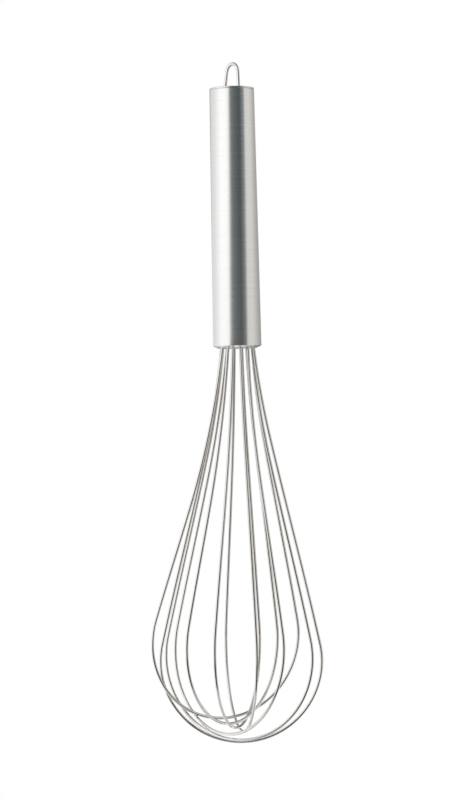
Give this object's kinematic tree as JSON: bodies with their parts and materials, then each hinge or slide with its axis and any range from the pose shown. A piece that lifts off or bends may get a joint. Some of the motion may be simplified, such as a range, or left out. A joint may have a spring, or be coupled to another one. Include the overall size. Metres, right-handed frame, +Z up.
{
  "type": "balloon whisk",
  "caption": "Hand whisk with a tapered brushed steel tube handle, a hanging loop and a pear-shaped cage of nested bent wire loops.",
  "frame": {"origin": "where a hook bears, inside the top of the hanging loop, on the handle's axis", "axes": "+Z up along the handle's axis, from the wire cage to the hanging loop; +X to the right and +Y away, seen from the front"},
  "size_m": [0.0925, 0.0906, 0.3669],
  "materials": {
    "handle_steel": "fine circumferential brushing",
    "cap_steel": "fine circular brushing",
    "loop_steel": "bright drawn wire",
    "wire_steel": "bright drawn wire",
    "holder_plastic": "moulded, slightly rough",
    "seal_resin": "cast resin, smooth"
  },
  "bodies": {
    "root": {"handle_tube": "handle_steel", "end_cap": "cap_steel", "hanging_loop": "loop_steel", "wire_holder": "holder_plastic", "potting_seal": "seal_resin", "wire_loop_1": "wire_steel", "wire_loop_2": "wire_steel", "wire_loop_3": "wire_steel", "wire_loop_4": "wire_steel", "wire_loop_5": "wire_steel", "wire_loop_6": "wire_steel", "wire_loop_7": "wire_steel"}
  },
  "joints": []
}
